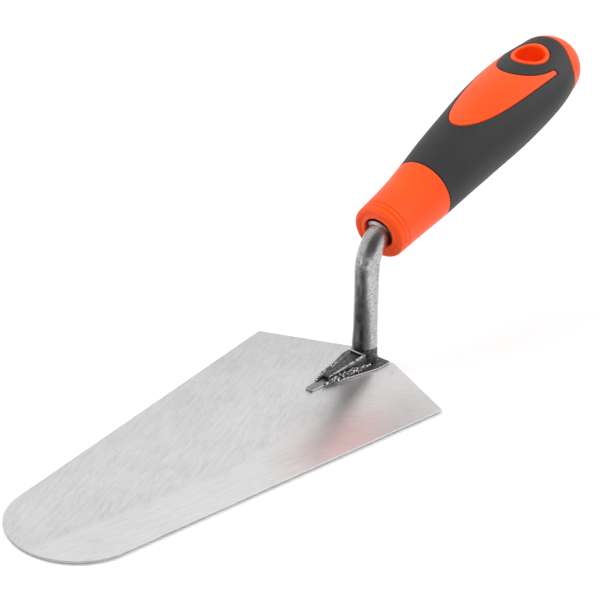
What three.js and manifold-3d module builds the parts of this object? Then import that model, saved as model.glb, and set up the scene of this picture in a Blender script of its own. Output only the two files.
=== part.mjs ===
// Brick trowel with a round-nosed blade, a cranked steel tang and a two-material handle.
// Millimetres, +Z up. The origin is on the blade's underside, on its centreline at the widest point.
// +X runs toward the butt of the handle, so the blade's nose points along -X.
import * as THREE from 'three';
import { mergeVertices } from 'three/addons/utils/BufferGeometryUtils.js';
import Module from 'manifold-3d';

const wasm = await Module();
wasm.setup();

// ---------- driving dimensions ----------
const BLADE = {
  width: 93.5, // across the two shoulder corners
  nose: 181.3, // shoulder line to the tip of the nose
  heel: 17.5, // shoulder line back to the short heel edge
  heelWidth: 21.6,
  noseRadius: 25.4,
  thickness: 1.2,
};
const SHOE = { // the flat pointed plate between the blade and the tang's foot
  thickness: 0.6,
  back: 16.8,
  halfWidth: 9.3,
  shoulder: 8.5,
  neck: -19,
  neckHalfWidth: 2.2,
  tip: -26,
  tipHalfWidth: 1.7,
};
const TANG = {
  diameter: 10,
  baseX: 11.4,
  leanDeg: 5.7, // the upright part leans toward the nose
  bendRadius: 14.5,
  insert: 66, // length buried in the handle, from the collar's mouth
  flattenLength: 24, // the buried end is pressed flat over this length
  flattenTaper: 8,
  flattenWiden: 1.6,
  flattenThin: 2,
};
const FOOT = { // the tapering rib forged on the tang's lower end
  root: { x: 9.5, top: 7.2, halfWidth: 4.6, topHalfWidth: 3.5 },
  toe: { x: -14.5, top: 3.7, halfWidth: 2.0, topHalfWidth: 1.3 },
};
const WELD = { from: 8.5, to: -18.5, radius: 1.9, ripple: 0.22, ripples: 8 };
const HEEL_WELD = { radius: 1.3, sweepDeg: 75 };
const HANDLE = {
  mouth: [12.5, 0, 57.8], // centre of the collar's front face
  pitchDeg: 17.8,
  collarLength: 31,
  length: 140.3,
  gripThickness: 2.5,
  lip: 1.1, // radius of the collar's rounded front edge
};
const COLLAR_GROOVE = { places: [2.5, 4.7], width: 0.7, depth: 0.45 };
const MOUTH_RECESS = { radius: 6.6, depth: 7, chamfer: 0.5 };
const EYELET = { at: 112.8, radius: 8.4, holeRadius: 6.4, chamfer: 0.8, raise: 0.2 };
const PANEL = { // teardrop of the hard core that shows through the top of the grip
  nose: 56,
  noseBulge: 9,
  waist: 80,
  waistHalfWidth: 14,
  hornEnd: 111.8,
  hornHalfWidth: 14.4,
  ringX: 17.6, // half-axes of the soft oval that parts the panel from the eyelet
  ringY: 12.6,
};
const BUTT = { at: 122.9, radius: 16.5, level: 5 }; // seen from the side, the grip ends on this arc
const HANDLE_GAP = 0.3; // clearance between the handle's pieces and round the buried tang
const SEAT_GAP = 0.05; // clearance between the steel pieces that sit on one another

// The handle's sections: distance from the mouth, half height, half width, rise of the centre.
const SECTIONS = [
  [0, 11.8, 11.8, 0],
  [20, 12.8, 12.8, 0],
  [32, 13.9, 13.8, 0.6],
  [46, 14.8, 15.2, 1.9],
  [60, 15.6, 16.4, 2.75],
  [88, 15.8, 18.9, 4.1],
  [112, 14.5, 18.3, 4.75],
  [126, 14.0, 15.1, 4.5],
];
const DOME_START = SECTIONS[SECTIONS.length - 1][0];
const DOME_POWER = 1.66; // 2 would round the butt off as an ellipse
const DOME_FLAT = 0.08; // share of the section left as a flat at the very end
const SIDES = 32;

const PITCH = THREE.MathUtils.degToRad(HANDLE.pitchDeg);
const LEAN = THREE.MathUtils.degToRad(TANG.leanDeg);
const SHOE_TOP = BLADE.thickness + SEAT_GAP + SHOE.thickness;

// ---------- materials ----------
const steel = (color, roughness) =>
  new THREE.MeshStandardMaterial({ color, roughness, metalness: 1 });
const plastic = (color, roughness) =>
  new THREE.MeshStandardMaterial({ color, roughness, metalness: 0 });

const groundSteel = steel(0xd2d2d2, 0.34);
const forgedSteel = steel(0x9b9b9b, 0.36);
const weldSteel = steel(0x7c7c7c, 0.45);
const orangePlastic = plastic(0xff5a2a, 0.35);
const greyRubber = plastic(0x4b4b4b, 0.7);

// ---------- geometry helpers ----------

// Turns the triangles round when they enclose a negative volume.
function faceOut(geometry) {
  const position = geometry.attributes.position;
  const index = geometry.index.array;
  const a = new THREE.Vector3();
  const b = new THREE.Vector3();
  const c = new THREE.Vector3();
  let volume = 0;
  for (let i = 0; i < index.length; i += 3) {
    a.fromBufferAttribute(position, index[i]);
    b.fromBufferAttribute(position, index[i + 1]);
    c.fromBufferAttribute(position, index[i + 2]);
    volume += a.dot(b.cross(c));
  }
  if (volume < 0) {
    for (let i = 0; i < index.length; i += 3) {
      [index[i], index[i + 1]] = [index[i + 1], index[i]];
    }
  }
  return geometry;
}

// Leaves one vertex at each point, as a closed solid needs.
function joinVertices(geometry) {
  const bare = geometry.clone();
  bare.deleteAttribute('normal');
  bare.deleteAttribute('uv');
  return faceOut(mergeVertices(bare, 1e-4));
}

function toSolid(geometry) {
  const bare = joinVertices(geometry);
  return new wasm.Manifold(new wasm.Mesh({
    numProp: 3,
    vertProperties: new Float32Array(bare.attributes.position.array),
    triVerts: new Uint32Array(bare.index.array),
  }));
}

function toGeometry(solid) {
  const mesh = solid.getMesh();
  const geometry = new THREE.BufferGeometry();
  geometry.setAttribute('position', new THREE.BufferAttribute(new Float32Array(mesh.vertProperties), 3));
  geometry.setIndex(new THREE.BufferAttribute(new Uint32Array(mesh.triVerts), 1));
  geometry.computeVertexNormals();
  return geometry;
}

// A closed body through sections. place(t, angle, reach, point) sets the point of the section at t,
// 0 to 1, where reach is 0 on the centre line and 1 on the skin.
function sectionedBody(sides, steps, place) {
  const geometry = new THREE.CylinderGeometry(1, 1, 1, sides, steps);
  const position = geometry.attributes.position;
  const point = new THREE.Vector3();
  for (let i = 0; i < position.count; i += 1) {
    const angle = Math.atan2(position.getX(i), position.getZ(i));
    const reach = Math.round(Math.hypot(position.getX(i), position.getZ(i)));
    place(0.5 - position.getY(i), angle, reach, point);
    position.setXYZ(i, point.x, point.y, point.z);
  }
  return joinVertices(geometry);
}

// A flat outline in the XY plane, made into a slab from one height to another.
function slab(shape, from, to, curveSegments = 12) {
  const options = { depth: to - from, bevelEnabled: false, curveSegments };
  return new THREE.ExtrudeGeometry(shape, options).translate(0, 0, from);
}

function block(sizeX, sizeY, sizeZ, x, y, z) {
  return new THREE.BoxGeometry(sizeX, sizeY, sizeZ).translate(x, y, z);
}

// ---------- blade and shoe ----------
function bladeGeometry() {
  const half = BLADE.width / 2;
  const noseCentre = BLADE.noseRadius - BLADE.nose;
  const reach = Math.hypot(noseCentre, half);
  const tangent = Math.atan2(half, -noseCentre) + Math.acos(BLADE.noseRadius / reach);
  const outline = new THREE.Shape();
  outline.moveTo(BLADE.heel, -BLADE.heelWidth / 2);
  outline.lineTo(BLADE.heel, BLADE.heelWidth / 2);
  outline.lineTo(0, half);
  outline.absarc(noseCentre, 0, BLADE.noseRadius, tangent, 2 * Math.PI - tangent, false);
  outline.lineTo(0, -half);
  outline.closePath();
  return slab(outline, 0, BLADE.thickness, 40);
}

function shoeGeometry() {
  const side = [
    [SHOE.back, SHOE.halfWidth],
    [SHOE.shoulder, SHOE.halfWidth],
    [SHOE.neck, SHOE.neckHalfWidth],
    [SHOE.tip, SHOE.tipHalfWidth],
  ];
  const points = side.map(([x, y]) => new THREE.Vector2(x, y));
  const mirrored = side.map(([x, y]) => new THREE.Vector2(x, -y)).reverse();
  return slab(new THREE.Shape([...points, ...mirrored]), BLADE.thickness + SEAT_GAP, SHOE_TOP);
}

// ---------- tang ----------
const UPRIGHT = new THREE.Vector3(-Math.sin(LEAN), 0, Math.cos(LEAN));
const ALONG = new THREE.Vector3(Math.cos(PITCH), 0, Math.sin(PITCH));
const SIDEWAYS = new THREE.Vector3(0, 1, 0);
const MOUTH = new THREE.Vector3(...HANDLE.mouth);
const TURN = UPRIGHT.angleTo(ALONG);

// Where the upright part's axis meets the handle's axis.
function tangCorner() {
  const base = new THREE.Vector3(TANG.baseX, 0, 0);
  const offset = MOUTH.clone().sub(base);
  const cross = UPRIGHT.x * ALONG.z - UPRIGHT.z * ALONG.x;
  const rise = (offset.x * ALONG.z - offset.z * ALONG.x) / cross;
  return base.addScaledVector(UPRIGHT, rise);
}

// The rod's centre line: upright from under the foot, round the bend, then along the handle.
function tangPath() {
  const corner = tangCorner();
  const setBack = TANG.bendRadius * Math.tan(TURN / 2);
  const foot = new THREE.Vector3(TANG.baseX, 0, 0);
  const bendStart = corner.clone().addScaledVector(UPRIGHT, -setBack);
  const bendEnd = corner.clone().addScaledVector(ALONG, setBack);
  const end = MOUTH.clone().addScaledVector(ALONG, TANG.insert);
  const toCentre = new THREE.Vector3(UPRIGHT.z, 0, -UPRIGHT.x);
  const centre = bendStart.clone().addScaledVector(toCentre, TANG.bendRadius);
  const straight = foot.distanceTo(bendStart);
  const arc = TANG.bendRadius * TURN;
  const total = straight + arc + bendEnd.distanceTo(end);
  const at = (distance) => {
    if (distance < straight) {
      return [foot.clone().addScaledVector(UPRIGHT, distance), UPRIGHT.clone()];
    }
    if (distance < straight + arc) {
      const angle = (distance - straight) / TANG.bendRadius;
      const spoke = toCentre.clone().negate().applyAxisAngle(SIDEWAYS, angle);
      const heading = UPRIGHT.clone().applyAxisAngle(SIDEWAYS, angle);
      return [centre.clone().addScaledVector(spoke, TANG.bendRadius), heading];
    }
    return [bendEnd.clone().addScaledVector(ALONG, distance - straight - arc), ALONG.clone()];
  };
  return { at, total, straight, arc };
}

// Distances along the rod at which it has a section, close together round the bend.
function tangStations(path) {
  const bendSteps = 9;
  const stations = [0];
  for (let i = 0; i <= bendSteps; i += 1) {
    stations.push(path.straight + (path.arc * i) / bendSteps);
  }
  const flatStart = path.total - TANG.flattenLength;
  return [...stations, flatStart, flatStart + TANG.flattenTaper, path.total];
}

function tangRod(grow) {
  const path = tangPath();
  const stations = tangStations(path);
  const last = stations.length - 1;
  const flatStart = path.total - TANG.flattenLength;
  const radius = TANG.diameter / 2 + grow;
  return sectionedBody(20, last, (t, angle, reach, point) => {
    const index = Math.round(t * last);
    const [centre, heading] = path.at(stations[index]);
    const flat = THREE.MathUtils.smoothstep(stations[index], flatStart, flatStart + TANG.flattenTaper);
    const upward = new THREE.Vector3().crossVectors(heading, SIDEWAYS);
    const width = radius + TANG.flattenWiden * flat;
    const height = radius - TANG.flattenThin * flat;
    point.copy(centre);
    point.addScaledVector(SIDEWAYS, reach * width * Math.sin(angle));
    point.addScaledVector(upward, reach * height * Math.cos(angle));
    point.addScaledVector(heading, index === last ? grow : 0);
  });
}

function footRib(grow) {
  const geometry = new THREE.BoxGeometry(1, 1, 1);
  const position = geometry.attributes.position;
  for (let i = 0; i < position.count; i += 1) {
    const end = position.getX(i) > 0 ? FOOT.root : FOOT.toe;
    const high = position.getZ(i) > 0;
    const half = (high ? end.topHalfWidth : end.halfWidth) + grow;
    const x = end.x + (end === FOOT.toe ? -grow : 0);
    position.setXYZ(i, x, Math.sign(position.getY(i)) * half, high ? end.top + grow : 0);
  }
  return geometry;
}

// Everything below this height belongs to the shoe and the blade.
function belowShoe() {
  const top = SHOE_TOP + SEAT_GAP;
  return toSolid(block(100, 60, 20, 0, 0, top - 10));
}

function tangSolid(grow) {
  return toSolid(tangRod(grow)).add(toSolid(footRib(grow))).subtract(belowShoe());
}

// ---------- welds ----------

// A rippled bead whose centre line is centreAt(t); the tang and the shoe are cut out of it.
function weldGeometry(beadRadius, centreAt) {
  const bead = sectionedBody(10, 14, (t, angle, reach, point) => {
    const end = Math.sin(Math.PI * THREE.MathUtils.clamp(t, 0.04, 0.96)) ** 0.4;
    const ripple = 1 + WELD.ripple * Math.sin(2 * Math.PI * WELD.ripples * t);
    const radius = reach * beadRadius * end * ripple;
    const [centre, heading] = centreAt(t);
    const outward = new THREE.Vector3().crossVectors(heading, new THREE.Vector3(0, 0, 1)).normalize();
    point.copy(centre).addScaledVector(outward, radius * Math.sin(angle));
    point.z += radius * Math.cos(angle);
  });
  const cut = toSolid(bead).subtract(tangSolid(SEAT_GAP)).subtract(belowShoe());
  const pieces = cut.decompose();
  return toGeometry(pieces.reduce((big, one) => (one.volume() > big.volume() ? one : big)));
}

// Along one side of the foot, from the rod to the toe; side is 1 or -1.
function sideWeld(side) {
  const start = new THREE.Vector3(WELD.from, side * (FOOT.root.halfWidth + 0.4), SHOE_TOP);
  const finish = new THREE.Vector3(WELD.to, side * (FOOT.toe.halfWidth + 0.4), SHOE_TOP);
  const heading = finish.clone().sub(start).normalize();
  return weldGeometry(WELD.radius, (t) => [start.clone().lerp(finish, t), heading]);
}

// Round the back of the rod.
function heelWeld() {
  const sweep = THREE.MathUtils.degToRad(HEEL_WELD.sweepDeg);
  const radius = TANG.diameter / 2;
  return weldGeometry(HEEL_WELD.radius, (t) => {
    const angle = THREE.MathUtils.lerp(-sweep, sweep, t);
    const x = TANG.baseX - SHOE_TOP * Math.tan(LEAN) + radius * Math.cos(angle);
    const centre = new THREE.Vector3(x, radius * Math.sin(angle), SHOE_TOP);
    return [centre, new THREE.Vector3(-Math.sin(angle), Math.cos(angle), 0)];
  });
}

// ---------- handle, in its own frame: +X along it from the mouth, +Z out of its top ----------
const sectionCurve = new THREE.CubicInterpolant(
  new Float32Array(SECTIONS.map((row) => row[0])),
  new Float32Array(SECTIONS.flatMap((row) => row.slice(1))),
  3,
  new Float32Array(3),
);

// Half height, half width and rise at a distance from the mouth, with the lip and the domed butt.
function sectionAt(distance) {
  const [height, width, rise] = sectionCurve.evaluate(Math.min(distance, DOME_START));
  if (distance < HANDLE.lip) {
    const back = 1 - distance / HANDLE.lip;
    const shrink = HANDLE.lip * (1 - Math.sqrt(1 - back * back * 0.98));
    return [height - shrink, width - shrink, rise];
  }
  if (distance > DOME_START) {
    const part = Math.min((distance - DOME_START) / (HANDLE.length - DOME_START), 1);
    const share = Math.max((1 - part ** DOME_POWER) ** (1 / DOME_POWER), DOME_FLAT);
    return [height * share, width * share, rise];
  }
  return [height, width, rise];
}

// Distances from the mouth at which the handle's skin has a section.
function skinStations(from, to) {
  const lipStations = [0, 0.15, 0.5, 1].map((share) => share * HANDLE.lip);
  const bodySteps = 15;
  const body = [];
  for (let i = 1; i <= bodySteps; i += 1) {
    body.push(THREE.MathUtils.lerp(HANDLE.lip, DOME_START, i / bodySteps));
  }
  const domeSteps = 6;
  const dome = [];
  for (let i = 1; i <= domeSteps; i += 1) {
    const share = Math.sin((Math.PI / 2) * (i / domeSteps));
    dome.push(THREE.MathUtils.lerp(DOME_START, HANDLE.length, share));
  }
  const inner = [...lipStations, ...body, ...dome].filter((x) => x > from + 0.5 && x < to - 0.5);
  return [from, ...inner, to];
}

function handleSkin(inset, from, to) {
  const stations = skinStations(from, to);
  const last = stations.length - 1;
  return toSolid(sectionedBody(SIDES, last, (t, angle, reach, point) => {
    const x = stations[Math.round(t * last)];
    const [height, width, rise] = sectionAt(x);
    const y = reach * (width - inset) * Math.sin(angle);
    point.set(x, y, rise + reach * (height - inset) * Math.cos(angle));
  }));
}

// The teardrop panel as a tall prism; grow widens it all round.
function panelPrism(grow) {
  const outline = new THREE.Shape();
  const ringX = PANEL.ringX - grow;
  const ringY = PANEL.ringY - grow;
  const nose = PANEL.nose - grow;
  const horn = PANEL.hornHalfWidth + grow;
  const waist = PANEL.waistHalfWidth + grow;
  const hornEnd = PANEL.hornEnd + grow;
  const turn = Math.acos((hornEnd - EYELET.at) / ringX);
  outline.moveTo(nose, 0);
  outline.bezierCurveTo(nose, -PANEL.noseBulge, PANEL.waist, -waist, hornEnd, -horn);
  outline.absellipse(EYELET.at, 0, ringX, ringY, -turn, turn - 2 * Math.PI, true);
  outline.lineTo(hornEnd, horn);
  outline.bezierCurveTo(PANEL.waist, waist, nose, PANEL.noseBulge, nose, 0);
  return toSolid(slab(outline, 5, 40, 14));
}

function uprightCylinder(radiusTop, radiusBottom, from, to, x) {
  const cylinder = new THREE.CylinderGeometry(radiusTop, radiusBottom, to - from, SIDES);
  return toSolid(cylinder.rotateX(Math.PI / 2).translate(x, 0, (from + to) / 2));
}

// The space of the hard butt, bounded by an arc seen from the side; shift moves it along the handle.
function buttSpace(shift) {
  const centre = BUTT.at + BUTT.radius + shift;
  const roll = new THREE.CylinderGeometry(BUTT.radius, BUTT.radius, 100, 64);
  const tail = block(BUTT.radius * 2, 100, 100, centre + BUTT.radius, 0, 0);
  return toSolid(roll.translate(centre, 0, BUTT.level)).add(toSolid(tail));
}

// Rings that cut the shallow grooves into the collar.
function collarGrooveRings() {
  return COLLAR_GROOVE.places.map((place) => {
    const floor = sectionAt(place)[0] - COLLAR_GROOVE.depth;
    const half = COLLAR_GROOVE.width / 2;
    const profile = [
      new THREE.Vector2(floor, place - half),
      new THREE.Vector2(floor + 3, place - half),
      new THREE.Vector2(floor + 3, place + half),
      new THREE.Vector2(floor, place + half),
      new THREE.Vector2(floor, place - half),
    ];
    return toSolid(new THREE.LatheGeometry(profile, SIDES).rotateZ(-Math.PI / 2));
  });
}

// The open recess at the collar's mouth, with a chamfered edge.
function mouthRecess() {
  const outer = MOUTH_RECESS.radius + MOUTH_RECESS.chamfer;
  const profile = [
    new THREE.Vector2(0, -2),
    new THREE.Vector2(outer, -2),
    new THREE.Vector2(outer, 0),
    new THREE.Vector2(MOUTH_RECESS.radius, MOUTH_RECESS.chamfer),
    new THREE.Vector2(MOUTH_RECESS.radius, MOUTH_RECESS.depth),
    new THREE.Vector2(0, MOUTH_RECESS.depth),
  ];
  return toSolid(new THREE.LatheGeometry(profile, SIDES).rotateZ(-Math.PI / 2));
}

// The hang hole with both its mouths opened out.
function hangHole() {
  const { at, holeRadius, chamfer } = EYELET;
  const [height, , rise] = sectionAt(at);
  const top = rise + height + EYELET.raise;
  const bottom = rise - height - EYELET.raise;
  const wide = holeRadius + 2 * chamfer;
  return uprightCylinder(holeRadius, holeRadius, bottom - 5, top + 5, at)
    .add(uprightCylinder(wide, holeRadius, top - chamfer, top + chamfer, at))
    .add(uprightCylinder(holeRadius, wide, bottom - chamfer, bottom + chamfer, at));
}

// The tang in the handle's own frame, grown by the clearance round it.
function buriedTang() {
  const geometry = tangRod(HANDLE_GAP);
  geometry.translate(-MOUTH.x, -MOUTH.y, -MOUTH.z);
  return toSolid(geometry.rotateY(PITCH));
}

function handleCoreGeometry() {
  const skin = handleSkin(0, 0, HANDLE.length);
  const collar = handleSkin(0, 0, HANDLE.collarLength);
  const inside = handleSkin(HANDLE.gripThickness, HANDLE.collarLength - 6, DOME_START);
  const panel = skin.intersect(panelPrism(0));
  const eyeletPost = uprightCylinder(EYELET.radius, EYELET.radius, -40, 40, EYELET.at);
  const eyelet = handleSkin(-EYELET.raise, HANDLE.collarLength, HANDLE.length).intersect(eyeletPost);
  const butt = skin.intersect(buttSpace(HANDLE_GAP));
  let core = collar.add(inside).add(panel).add(eyelet).add(butt);
  for (const ring of collarGrooveRings()) {
    core = core.subtract(ring);
  }
  core = core.subtract(mouthRecess()).subtract(buriedTang()).subtract(hangHole());
  return toGeometry(core);
}

function softGripGeometry() {
  const start = HANDLE.collarLength + HANDLE_GAP;
  const skin = handleSkin(0, start, HANDLE.length).subtract(buttSpace(0));
  const hollow = handleSkin(HANDLE.gripThickness - HANDLE_GAP, start - 6, HANDLE.length - 2);
  const eyeletRadius = EYELET.radius + HANDLE_GAP;
  const eyeletPost = uprightCylinder(eyeletRadius, eyeletRadius, -40, 40, EYELET.at);
  const grip = skin.subtract(hollow).subtract(panelPrism(HANDLE_GAP)).subtract(eyeletPost);
  return toGeometry(grip);
}

// ---------- assembly ----------
function namedMesh(name, geometry, material) {
  const mesh = new THREE.Mesh(geometry, material);
  mesh.name = name;
  return mesh;
}

const handle = new THREE.Group();
handle.position.copy(MOUTH);
handle.rotation.y = -PITCH;
handle.add(namedMesh('handle_core', handleCoreGeometry(), orangePlastic));
handle.add(namedMesh('soft_grip', softGripGeometry(), greyRubber));

const trowel = new THREE.Group();
trowel.add(namedMesh('blade', bladeGeometry(), groundSteel));
trowel.add(namedMesh('foot_plate', shoeGeometry(), forgedSteel));
trowel.add(namedMesh('tang', toGeometry(tangSolid(0)), forgedSteel));
trowel.add(namedMesh('weld_left', sideWeld(1), weldSteel));
trowel.add(namedMesh('weld_right', sideWeld(-1), weldSteel));
trowel.add(namedMesh('weld_heel', heelWeld(), weldSteel));
trowel.add(handle);

export default trowel;
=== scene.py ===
"""Brick trowel: the visible pieces and their finishes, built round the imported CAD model.

Shapes are worked out in millimetres in the CAD model's frame and go into Blender in metres.
"""

import math

import bmesh
import bpy
import numpy as np
from mathutils import Matrix, Vector, noise


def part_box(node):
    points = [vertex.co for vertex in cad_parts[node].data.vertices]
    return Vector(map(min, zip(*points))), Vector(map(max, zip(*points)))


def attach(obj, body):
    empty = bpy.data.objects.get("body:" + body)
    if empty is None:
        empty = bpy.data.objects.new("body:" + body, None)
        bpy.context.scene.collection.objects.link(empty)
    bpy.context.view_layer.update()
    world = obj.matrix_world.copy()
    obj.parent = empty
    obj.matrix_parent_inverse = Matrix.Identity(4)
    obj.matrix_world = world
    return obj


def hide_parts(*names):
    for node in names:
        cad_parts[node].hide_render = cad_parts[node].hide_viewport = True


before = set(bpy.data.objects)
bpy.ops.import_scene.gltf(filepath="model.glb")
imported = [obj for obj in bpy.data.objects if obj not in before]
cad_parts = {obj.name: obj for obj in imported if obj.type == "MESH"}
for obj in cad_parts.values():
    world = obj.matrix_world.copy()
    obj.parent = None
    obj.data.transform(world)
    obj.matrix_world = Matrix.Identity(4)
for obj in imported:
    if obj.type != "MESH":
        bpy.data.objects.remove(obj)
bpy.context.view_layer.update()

MM = 0.001

# ---------- driving dimensions, as in the CAD model ----------
BLADE_WIDTH = 93.5
BLADE_NOSE = 181.3
BLADE_HEEL = 17.5
BLADE_HEEL_WIDTH = 21.6
BLADE_NOSE_RADIUS = 25.4
BLADE_THICKNESS = 1.2
CORNER_RADIUS = 0.9
RIM_EASE = (0.7, 0.5)  # how far in, and how high, the underside's rim is eased

SEAT_GAP = 0.05
SHOE_BOTTOM = BLADE_THICKNESS + SEAT_GAP
SHOE_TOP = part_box("foot_plate")[1].z / MM
SHOE_OUTLINE = [(16.8, 9.3), (8.5, 9.3), (-19.0, 2.2), (-26.0, 1.7)]

ROD_RADIUS = 5.0
ROD_BASE_X = 11.4
ROD_LEAN = math.radians(5.7)
ROD_BEND_RADIUS = 14.5
ROD_INSERT = 66.0
ROD_FLAT_LENGTH = 24.0
ROD_FLAT_TAPER = 8.0
ROD_FLAT_WIDEN = 1.6
ROD_FLAT_THIN = 2.0
NECK_AT = 8.2  # a shallow neck where the rod meets its foot
NECK_WIDTH = 0.55
NECK_DEPTH = 0.4
SHOULDER = 1.25  # the grey shoulder that fills the handle's mouth

# The foot's rib: distance along X, height and half width of its top, half width of its base.
RIB_ROOT = {"x": 9.5, "top": 7.2, "top_half": 3.5, "base_half": 4.6}
RIB_TOE = {"x": -14.5, "top": 3.7, "top_half": 1.3, "base_half": 2.0}
RIB_SLOPE = (RIB_ROOT["top_half"] - RIB_TOE["top_half"]) / (RIB_ROOT["x"] - RIB_TOE["x"])
LEDGE = {"x": 4.9, "z": 7.0, "half": 3.3, "radius": 0.62}

WELD_FROM = 8.5
WELD_TO = -18.5
WELD_RADIUS = 1.7
HEEL_WELD_RADIUS = 1.2
HEEL_SWEEP = math.radians(75)

MOUTH = np.array([12.5, 0.0, 57.8])
PITCH = math.radians(17.8)
COLLAR_LENGTH = 31.0
HANDLE_LENGTH = 140.3
GRIP_THICKNESS = 2.5
LIP = 1.1
GROOVE_PLACES = (2.5, 4.7)
GROOVE_WIDTH = 0.9
GROOVE_DEPTH = 0.42
RECESS_RADIUS = 6.6
RECESS_DEPTH = 7.0
RECESS_ROUND = 0.5
BORE_GAP = 0.3

EYELET_AT = 112.8
EYELET_RADIUS = 8.4
EYELET_RAISE = 0.2
HOLE_RADIUS = 6.4
HOLE_ROUND = 0.8

PANEL_NOSE = 56.0
PANEL_BULGE = 9.0
PANEL_WAIST = (80.0, 14.0)
PANEL_HORN = (111.8, 14.4)
PANEL_RING = (17.6, 12.6)

BUTT_AT = 122.9
BUTT_RADIUS = 16.5
BUTT_LEVEL = 5.0

# Distance from the mouth, half height, half width and rise of the handle's sections.
SECTIONS = np.array([
    (0, 11.8, 11.8, 0),
    (20, 12.8, 12.8, 0),
    (32, 13.9, 13.8, 0.6),
    (46, 14.8, 15.2, 1.9),
    (60, 15.6, 16.4, 2.75),
    (88, 15.8, 18.9, 4.1),
    (112, 14.5, 18.3, 4.75),
    (126, 14.0, 15.1, 4.5),
], float)
DOME_START = SECTIONS[-1][0]
DOME_POWER = 1.66
DOME_FLAT = 0.03

# ---------- visual detail ----------
COLUMNS = 176  # faces round the handle
ROW_STEP = 0.85
EDGE_ROUND = 0.5  # radius of the edges where the two plastics meet
GRIP_START = 0.1  # the grip begins this far outside the core's edge
CORE_STEP = 0.05  # the core drops to its floor within this distance
SKIN_INSET = 0.06  # keeps the smooth skin within the CAD model's faceted one
FAR = 99.0
LEAST_SLANT = 0.09  # keeps distances finite where the skin faces along the border
ON_LEVEL = 1e-5  # nearer to a level than this counts as on it
BORDER_CUTS = (-0.5, -0.32, -0.16, -0.05, 0.0, CORE_STEP, GRIP_START, 0.16, 0.27, 0.42, 0.6)
BORDER_SNAP = 0.016
HOLE_CUTS = (0.0, 0.05, 0.15, 0.33, 0.55, 0.8)
HOLE_SNAP = 0.02
BORE_STEPS = (0.15, 0.4, 0.7, 1.0)
BORE_EASE = 0.6
BORE_HALF = 2.0  # the two halves of the hole's wall stop this far from its middle
ROD_END_ROUND = 0.8

CAMERA_PLACE = (-0.5472, -0.3754, 0.3556)
CAMERA_AZIMUTH = math.radians(-53.69)
CAMERA_ELEVATION = math.radians(26.11)
CAMERA_ROLL = math.radians(4.5)
CAMERA_LENS = 111.04

FLOOR_HALF = 3000
FLOOR_LEVEL = -0.4  # just under the blade
WORLD_BRIGHT = (0.92, 0.92, 0.92, 1)
WORLD_DARK = (0.12, 0.12, 0.12, 1)
WORLD_FADE = (0.50, 0.82)
WORLD_STRENGTH = 0.95


# ---------- mesh helpers ----------
def new_object(name, points, faces, smooth_angle=40):
    """A mesh object from points in millimetres, shaded smooth below the angle."""
    mesh = bpy.data.meshes.new(name)
    mesh.from_pydata([tuple(float(c) * MM for c in p) for p in points], [], faces)
    mesh.validate()
    return link_mesh(name, mesh, smooth_angle)


def link_mesh(name, mesh, smooth_angle=40):
    """Puts a mesh in the scene with its normals outward, shaded smooth below the angle."""
    bm = bmesh.new()
    bm.from_mesh(mesh)
    bmesh.ops.recalc_face_normals(bm, faces=bm.faces)
    bm.to_mesh(mesh)
    bm.free()
    mesh.shade_smooth()
    mesh.set_sharp_from_angle(angle=math.radians(smooth_angle))
    obj = bpy.data.objects.new(name, mesh)
    bpy.context.scene.collection.objects.link(obj)
    return obj


def apply_modifiers(obj):
    """Replaces an object's mesh by what its modifiers make of it."""
    bpy.context.view_layer.update()
    graph = bpy.context.evaluated_depsgraph_get()
    mesh = bpy.data.meshes.new_from_object(obj.evaluated_get(graph))
    obj.modifiers.clear()
    obj.data = mesh
    return obj


def bevel(obj, width, segments=3, angle=30):
    """Rounds the edges that are sharper than the angle; the width is in millimetres."""
    modifier = obj.modifiers.new("edges", "BEVEL")
    modifier.width = width * MM
    modifier.segments = segments
    modifier.limit_method = "ANGLE"
    modifier.angle_limit = math.radians(angle)
    modifier.use_clamp_overlap = True
    apply_modifiers(obj)
    obj.data.shade_smooth()
    obj.data.set_sharp_from_angle(angle=math.radians(50))
    return obj


def slab(name, levels):
    """A plate through outlines with the same number of points, each at its own height."""
    count = len(levels[0][0])
    points = [(x, y, height) for outline, height in levels for x, y in outline]
    faces = [tuple(range(count)), tuple(range(len(points) - count, len(points)))]
    for low in range(0, len(points) - count, count):
        for i in range(count):
            j = (i + 1) % count
            faces.append((low + i, low + j, low + j + count, low + i + count))
    return new_object(name, points, faces)


def drawn_in(outline, distance):
    """The outline moved inward all round."""
    points = np.array(outline, float)
    along = np.roll(points, -1, 0) - np.roll(points, 1, 0)
    along /= np.linalg.norm(along, axis=1, keepdims=True)
    inward = np.stack([-along[:, 1], along[:, 0]], -1)
    turn = np.sum(points[:, 0] * np.roll(points[:, 1], -1) - points[:, 1] * np.roll(points[:, 0], -1))
    return [tuple(p) for p in points + inward * distance * np.sign(turn)]


def rounded_outline(corners, radius, steps=6):
    """Rounds each corner of a closed outline; a corner given with a third value of 0 stays sharp."""
    rounded = []
    count = len(corners)
    for i, corner in enumerate(corners):
        here = np.array(corner[:2], float)
        if len(corner) > 2:
            rounded.append(tuple(here))
            continue
        before = np.array(corners[i - 1][:2], float) - here
        after = np.array(corners[(i + 1) % count][:2], float) - here
        before /= np.linalg.norm(before)
        after /= np.linalg.norm(after)
        half = math.acos(np.clip(np.dot(before, after), -1, 1)) / 2
        start = here + before * radius / math.tan(half)
        finish = here + after * radius / math.tan(half)
        middle = here + (before + after) / np.linalg.norm(before + after) * radius / math.sin(half)
        first = math.atan2(*(start - middle)[::-1])
        turn = math.atan2(*(finish - middle)[::-1]) - first
        turn = (turn + math.pi) % (2 * math.pi) - math.pi
        for k in range(steps + 1):
            angle = first + turn * k / steps
            rounded.append(tuple(middle + radius * np.array([math.cos(angle), math.sin(angle)])))
    return rounded


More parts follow.
